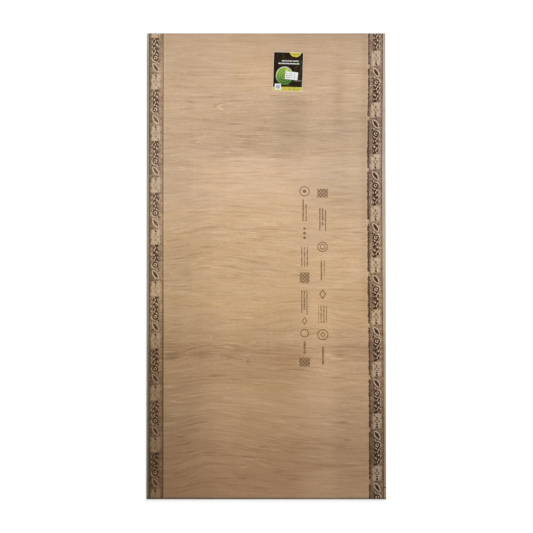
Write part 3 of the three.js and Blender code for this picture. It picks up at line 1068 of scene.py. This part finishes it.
def add_print(x, y, across, right, colour):
    along = y * x.math("SIGN") + by_border(right, PRINT_OFFSETS)
    border = place_effect(x.tree, BORDER_PRINT, across, along, right)
    tint, dark, pale, outer_line, inner_line = border
    place = vector(x, y)
    tint_ink, = place_effect(x.tree, WORN_INK, place, tint, 0.1)
    dark_ink, = place_effect(x.tree, WORN_INK, place, dark, 0.04)
    mauve = 0.3 * y.rise(*MAUVE_ALONG) + noise(x, y, 30, 60, 42, detail=1.0) * 1.3 + right * 0.5
    ink = mix(mauve.rise(-0.6, 1.3), OLIVE_INK, MAUVE_INK)
    colour = mix(tint_ink, colour, ink, "MULTIPLY")
    colour = mix(pale * pale_strength(y, right), colour, PALE_PRINT)
    colour = mix(outer_line * (0.85 - right * 0.13), colour, mix(right, *OUTER_LINE_INKS))
    line_strength = 0.46 + 0.44 * either(right, y.rise(180, -450) * 0.68)
    colour = mix(inner_line * line_strength, colour, mix(right, *INNER_LINE_INKS))
    colour = mix(dark_ink * (0.97 - fading(y, right)), colour, DARK_INK)
    in_border = across.between(BAND_START - 8, BAND_START - 5, BAND_END + 5, BAND_END + 7)
    # Painted shade with dirt: the borders darker towards the foot, and the left one a little darker
    # in a stretch above it.
    foot_dirt_and_shade = y.rise(*FOOT_ALONG) * by_border(right, FOOT_DIRT_AND_SHADE)
    foot_dirt_and_shade = foot_dirt_and_shade + (1 - right) * y.between(-720, -500, -380, -150) * 0.05
    colour = brighten(colour, 1 - in_border * foot_dirt_and_shade)
    stamp_cover, = place_effect(x.tree, STAMPS, place)
    stamp_ink, = place_effect(x.tree, WORN_INK, place, stamp_cover, 0.4)
    return mix(stamp_ink * 0.9, colour, STAMP_INK)


# Painted shade: the hollow of the nick coloured near black.
NICK_SHADE = (0.045, 0.026, 0.016, 1)


def paint_nick_shade(x, y, colour):
    end = NICK_INNER_END / MM
    half = NICK_HALF_WIDTH / MM
    nick = x.rise(end - 1, end + 1) * abs(y - NICK_MIDDLE / MM).rise(half + 1.4, half - 0.4)
    return mix(nick * 0.9, colour, NICK_SHADE)


def good_face_material():
    material, tree, surface = new_finish("plywood good face", 0.05)
    x, y = place_in_mm(tree)[:2]
    drifting_y = y + noise(x, y, 90, 45, 24) * 22
    loops = 0.4 + 0.3 * y.between(*LOOPS_ALONG)
    peeled = place_effect(tree, PEELED_GRAIN, vector(x, y), lift_of_grain(x, y), loops)
    colour = tone_and_shade_under_grain(x, y, drifting_y)
    colour = add_good_grain(x, y, drifting_y, colour, peeled)
    right = x.rise(-1, 1)
    wander = right * (along_sheet(y, RIGHT_PRINT_WANDER) - 1) * WANDER_UNIT
    across = HALF_WIDTH / MM - abs(x) + wander
    colour = add_dirt_and_tones(x, y, across, right, colour)
    colour = add_print(x, y, across, right, colour)
    give_finish(surface, paint_nick_shade(x, y, colour), peeled, 0.62)
    return material


# The back: one more peeled veneer of the same wood, browner and plainer than the good
# face. It is sanded in the same way and left unprinted.
BACK_WOOD = (0.500, 0.320, 0.185, 1)
BACK_STREAK = (0.330, 0.190, 0.100, 1)


def back_material():
    material, tree, surface = new_finish("plywood back", 0.3)
    x, y = place_in_mm(tree)[:2]
    lift = noise(x, y, 700, 500, 70) * 18
    peeled = place_effect(tree, PEELED_GRAIN, vector(x, y), lift, 0.8)
    streaks, threads, lines, fibres, pores = peeled
    brown = noise(x, y, 900, 260, 71).rise(-0.5, 1.2)
    colour = mix(brown * 0.6, BACK_WOOD, BACK_STREAK)
    colour = mix(lines * 0.8, colour, LINE_COLOUR, "MULTIPLY")
    grain = (streaks + threads) * 0.07 + fibres * FIBRE_STRENGTH - pores * PORE_STRENGTH
    give_finish(surface, brighten(colour, 1 + grain), peeled, 0.68)
    return material


# The sawn edges: every second ply shows the cut ends of its fibres and the others their
# sides, with a thin dark line of glue between plies. Cross plies are joined side to side,
# and each joint shows on the edge as a fine dark seam.
END_GRAIN = (0.215, 0.118, 0.062, 1)
SIDE_GRAIN = (0.370, 0.220, 0.122, 1)
FACE_PLY = (0.470, 0.310, 0.180, 1)
GLUE = (0.050, 0.026, 0.016, 1)
GLUE_HALF = 0.07
SEAM_SPACING = 760.0
SEAM_SHIFT = 2900.0
SEAM_HALF = 0.35
SAW_PITCH = 3.1
SAW_SLANT = 0.35
EDGE_RELIEF = 0.15 * MM


def make_ply_stack():
    """Group: height above the back gives which ply it is, whether its number is even, the
    cover of glue, and a tone of its own for each ply."""
    tree, (height,) = new_effect("ply stack", ("Height",), ("Ply", "Even", "Glue", "Tone"))
    steps = (height - FACE_VENEER / MM) / (CORE_PLY / MM)
    ply = steps.math("FLOOR") + 1
    even = 1 - (ply * 0.5).math("FRACT") * 2
    inner_line = steps.between(-0.5, -0.4, PLY_COUNT - 1.6, PLY_COUNT - 1.5)
    from_line = abs(steps.wrapped(1.0)) * (CORE_PLY / MM)
    glue = from_line.rise(GLUE_HALF + 0.05, GLUE_HALF - 0.02) * inner_line
    chance = tree.nodes.new("ShaderNodeTexWhiteNoise")
    chance.noise_dimensions = "1D"
    feed(chance.inputs["W"], ply + 0.5)
    give_out(tree, ply, even, glue, Pattern(tree, chance.outputs["Value"]))
    return tree


PLY_STACK = make_ply_stack()


def edge_material(name, along_length):
    """Even plies, like the two faces, show end grain on the long edges only."""
    material, tree, surface = new_finish(name, 0.25)
    x, y, z = place_in_mm(tree)
    run = y if along_length else x
    ply, even, glue, tone = place_effect(tree, PLY_STACK, z)
    ends = even if along_length else 1 - even
    speckle = noise(run, z, 0.7, 0.5, 80)
    tubes = noise(run, z, 0.35, 0.35, 81, detail=0.0).rise(0.55, 0.9)
    fibre = noise(run, z + ply * 11, 40, 0.22, 82, detail=3.0)
    from_seam = abs((run + tone * SEAM_SHIFT).wrapped(SEAM_SPACING))
    seam = from_seam.rise(SEAM_HALF + 0.15, SEAM_HALF - 0.15) * ends
    uneven_run = run + z * SAW_SLANT + noise(run, z, 90, 40, 83) * 1.5
    saw = abs(uneven_run.wrapped(SAW_PITCH)) / SAW_PITCH
    is_face = either(ply.rise(0.6, 0.4), ply.rise(PLY_COUNT - 1.6, PLY_COUNT - 1.4))
    wood = mix(ends, SIDE_GRAIN, END_GRAIN)
    wood = mix(is_face * 0.8, wood, FACE_PLY)
    streak = (1 - ends) * fibre * 0.12 + ends * (speckle * 0.14 - tubes * 0.35)
    drift = noise(run, z + ply * 5, 160, 30, 84) * 0.1
    wood = brighten(wood, 0.84 + tone * 0.32 + streak + drift - saw * 0.1)
    wood = mix(either(glue * 0.9, seam * 0.9), wood, GLUE)
    feed(surface.inputs["Base Color"], wood)
    feed(surface.inputs["Roughness"], 0.78 + ends * 0.1 - glue * 0.3)
    add_relief(surface, streak - saw * 0.3 - seam, EDGE_RELIEF)
    return material


# The finishes on the board: the good face, the back, and two kinds of sawn edge, because
# a ply that shows its end grain on one pair of edges shows its side on the other pair.
GOOD_FACE, BACK, LONG_EDGE, SHORT_EDGE = range(4)


def finish_board(piece):
    faces = good_face_material(), back_material()
    edges = edge_material("plywood long edge", True), edge_material("plywood short edge", False)
    for material in faces + edges:
        piece.data.materials.append(material)
    for face in piece.data.polygons:
        from_side = HALF_WIDTH - abs(face.center.x)
        from_end = HALF_LENGTH - abs(face.center.y)
        if face.normal.z > 0.5 and face.center.z > THICKNESS - FACE_VENEER:
            face.material_index = GOOD_FACE
        elif face.normal.z < -0.5 and face.center.z < EASED_EDGE:
            face.material_index = BACK
        elif from_side < from_end:
            face.material_index = LONG_EDGE
        else:
            face.material_index = SHORT_EDGE


finish_board(board)


# The board's sides laid out flat for baking, with its length from left to right: for each
# side its left, right, bottom and top as shares of the map. The good face gets the most.
MAP_PLACES = {
    "good face": (0.004, 0.996, 0.380, 0.996),
    "back": (0.004, 0.996, 0.182, 0.372),
    "right edge": (0.004, 0.996, 0.122, 0.174),
    "left edge": (0.004, 0.996, 0.063, 0.115),
    "head edge": (0.502, 0.996, 0.004, 0.056),
    "foot edge": (0.004, 0.498, 0.004, 0.056),
}


def side_of_board(face):
    if face.material_index == GOOD_FACE:
        return "good face"
    if face.material_index == BACK:
        return "back"
    if face.material_index == LONG_EDGE:
        return "right edge" if face.center.x > 0 else "left edge"
    return "head edge" if face.center.y > 0 else "foot edge"


def place_on_side(corner, finish):
    """A corner's place from left to right and from bottom to top, each from 0 to 1. The
    level ledges between the plies are tipped up a little, so that they have a height."""
    across = corner.x / HALF_WIDTH / 2 + 0.5
    along = corner.y / HALF_LENGTH / 2 + 0.5
    if finish == LONG_EDGE:
        return along, (corner.z + (HALF_WIDTH - abs(corner.x)) / 2) / (THICKNESS + EASED_EDGE)
    if finish == SHORT_EDGE:
        return across, (corner.z + (HALF_LENGTH - abs(corner.y)) / 2) / (THICKNESS + EASED_EDGE)
    return along, across


def lay_out_map(piece):
    layer = piece.data.uv_layers.new(name="OFBake")
    for face in piece.data.polygons:
        left, right, bottom, top = MAP_PLACES[side_of_board(face)]
        for loop in face.loop_indices:
            corner = piece.data.vertices[piece.data.loops[loop].vertex_index].co
            run, rise = place_on_side(corner, face.material_index)
            layer.data[loop].uv = (left + run * (right - left), bottom + rise * (top - bottom))


lay_out_map(board)


# The product label: a sheet of coated paper, glued on near the head. It is printed black,
# with a yellow foot, a yellow tab, a green log end with its rings, two broken white bars
# and a small checked square. Sizes are millimetres from its middle.
LABEL_TURN = math.radians(-1.7)
LABEL_SIZE = (152.0, 206.0)
LABEL_RIM = 1.2
LABEL_BLACK = (0.012, 0.006, 0.001, 1)
LABEL_BARK = (0.125, 0.105, 0.045, 1)
LABEL_YELLOW = (0.60, 0.51, 0.085, 1)
LABEL_OCHRE = (0.33, 0.265, 0.030, 1)
LABEL_WHITE = (0.80, 0.81, 0.76, 1)
LABEL_MAUVE = (0.20, 0.17, 0.33, 1)
RING_DARK = (0.018, 0.085, 0.016, 1)
RING_LIGHT = (0.36, 0.50, 0.085, 1)
RING_YELLOW = (0.66, 0.70, 0.13, 1)
LABEL_BARS = [((9, 57), (86, 5)), ((2, 43), (108, 6))]
LABEL_SMALL_BAR = [((50, -47), (38, 2.6))]
LABEL_FOOT = -80.0
LABEL_FOOT_BAR = [((20, -92), (82, 4))]
LABEL_TAB = ((36, 109), 31)
LABEL_TAB_BAR = [((36, 92), (24, 5))]
LABEL_SQUARE = [((-50, -80), (31, 31))]
LABEL_CHECKS = [((-50, -80), (21, 21))]
LABEL_CHECK = 4.0
LOG_MIDDLE = (-18.0, -22.0)
LOG_SQUASH = 0.9
LOG_LIGHT = ((-6, 8), 7, 8.0)
LOG_RADIUS = 44.0
RING_PITCH = 11.0


def place_on_paper(tree, name, turn):
    """Place on a piece of paper in millimetres, from its middle and along its own sides."""
    low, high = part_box(name)
    where = Pattern(tree, tree.nodes.new("ShaderNodeTexCoord").outputs["Object"])
    return split(set_out(where, (low + high) / 2, turn, (MM, MM)))[:2]


def log_end(x, y, ground):
    """The sawn end of a log in greens: rings, a pale bark line and a light from above."""
    mottle = noise(x, y, 6, 8, 51)
    middle = LOG_MIDDLE[0], LOG_MIDDLE[1] * LOG_SQUASH
    from_pith = distance(x, y * LOG_SQUASH, middle) + mottle * 1.6
    rings = abs(from_pith.wrapped(RING_PITCH)).rise(1.0, 4.6)
    light = (y - x * 0.25).rise(LOG_MIDDLE[1] - 40, LOG_MIDDLE[1] + 44)
    wood = mix(light * 0.5 + rings * 0.28 + mottle * 0.16 - 0.02, RING_DARK, RING_LIGHT)
    wood = mix(disc(x, y, *LOG_LIGHT) * 0.8, wood, RING_YELLOW)
    bark_line = ring(x, y * LOG_SQUASH, middle, LOG_RADIUS - 2, 3.0)
    wood = mix(bark_line * light * 0.75, wood, LABEL_WHITE)
    return mix(from_pith.rise(LOG_RADIUS + 0.8, LOG_RADIUS - 0.8), ground, wood)


def label_material():
    material, tree, surface = new_finish("printed label paper", 0.02)
    x, y = place_on_paper(tree, "product_label", LABEL_TURN)
    bark = noise(x, y, 9, 45, 50, detail=3.0).rise(-0.3, 1.1)
    colour = mix(bark * (0.12 + x.rise(-60, 50) * 0.36), LABEL_BLACK, LABEL_BARK)
    colour = log_end(x, y, colour)
    gaps = abs((x + noise(x, y, 7, 30, 52) * 4).wrapped(9.0)).rise(4.3, 3.1)
    gaps = gaps * (0.75 + noise(x, y, 2.5, 2.5, 54) * 0.3)
    colour = mix(bars_at(x, y, LABEL_BARS) * gaps, colour, LABEL_WHITE)
    colour = mix(bars_at(x, y, LABEL_SMALL_BAR) * gaps * 0.6, colour, LABEL_WHITE)
    yellow = mix(noise(x, y, 14, 7, 55).rise(-0.4, 0.9) * 0.9, LABEL_YELLOW, LABEL_OCHRE)
    foot = y.rise(LABEL_FOOT + 0.5, LABEL_FOOT - 0.5)
    colour = mix(either(disc(x, y, *LABEL_TAB), foot), colour, yellow)
    dark_bars = either(bars_at(x, y, LABEL_TAB_BAR), bars_at(x, y, LABEL_FOOT_BAR) * gaps)
    colour = mix(dark_bars * 0.55, colour, LABEL_BARK)
    colour = mix(bars_at(x, y, LABEL_SQUARE), colour, LABEL_WHITE)
    checks = bars_at(x, y, LABEL_CHECKS) * (0.4 + checked(x, y, LABEL_CHECK) * 0.6)
    colour = mix(checks, colour, LABEL_MAUVE)
    inside = LABEL_SIZE[0] - 2 * LABEL_RIM, LABEL_SIZE[1] - 2 * LABEL_RIM
    colour = mix(1 - bar(x, y, (0, 0), inside, 0.2), colour, LABEL_WHITE)
    feed(surface.inputs["Base Color"], colour)
    feed(surface.inputs["Roughness"], 0.38 + noise(x, y, 40, 40, 53) * 0.05)
    return material


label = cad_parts["product_label"]
label.data.materials.clear()
label.data.materials.append(label_material())


# The price sticker: plain white paper stuck over the label by hand, with three printed
# rows of grey-mauve bars.
STICKER_TURN = math.radians(-6.2)
STICKER_WHITE = (0.675, 0.690, 0.655, 1)
STICKER_GREY = (0.20, 0.17, 0.27, 1)
STICKER_ROWS = [((-2, 10), (50, 5)), ((-4, 0), (46, 5)), ((0, -10), (54, 5))]


def sticker_material():
    material, tree, surface = new_finish("white sticker paper", 0.3)
    x, y = place_on_paper(tree, "price_sticker", STICKER_TURN)
    gaps = noise(x, y, 4.5, 60, 60, detail=0.0).rise(-0.3, -0.1)
    rows = bars_at(x, y, STICKER_ROWS)
    colour = mix(rows * gaps * 0.8, STICKER_WHITE, STICKER_GREY)
    feed(surface.inputs["Base Color"], colour)
    feed(surface.inputs["Roughness"], 0.55 + noise(x, y, 8, 8, 61) * 0.05)
    return material


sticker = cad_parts["price_sticker"]
sticker.data.materials.clear()
sticker.data.materials.append(sticker_material())
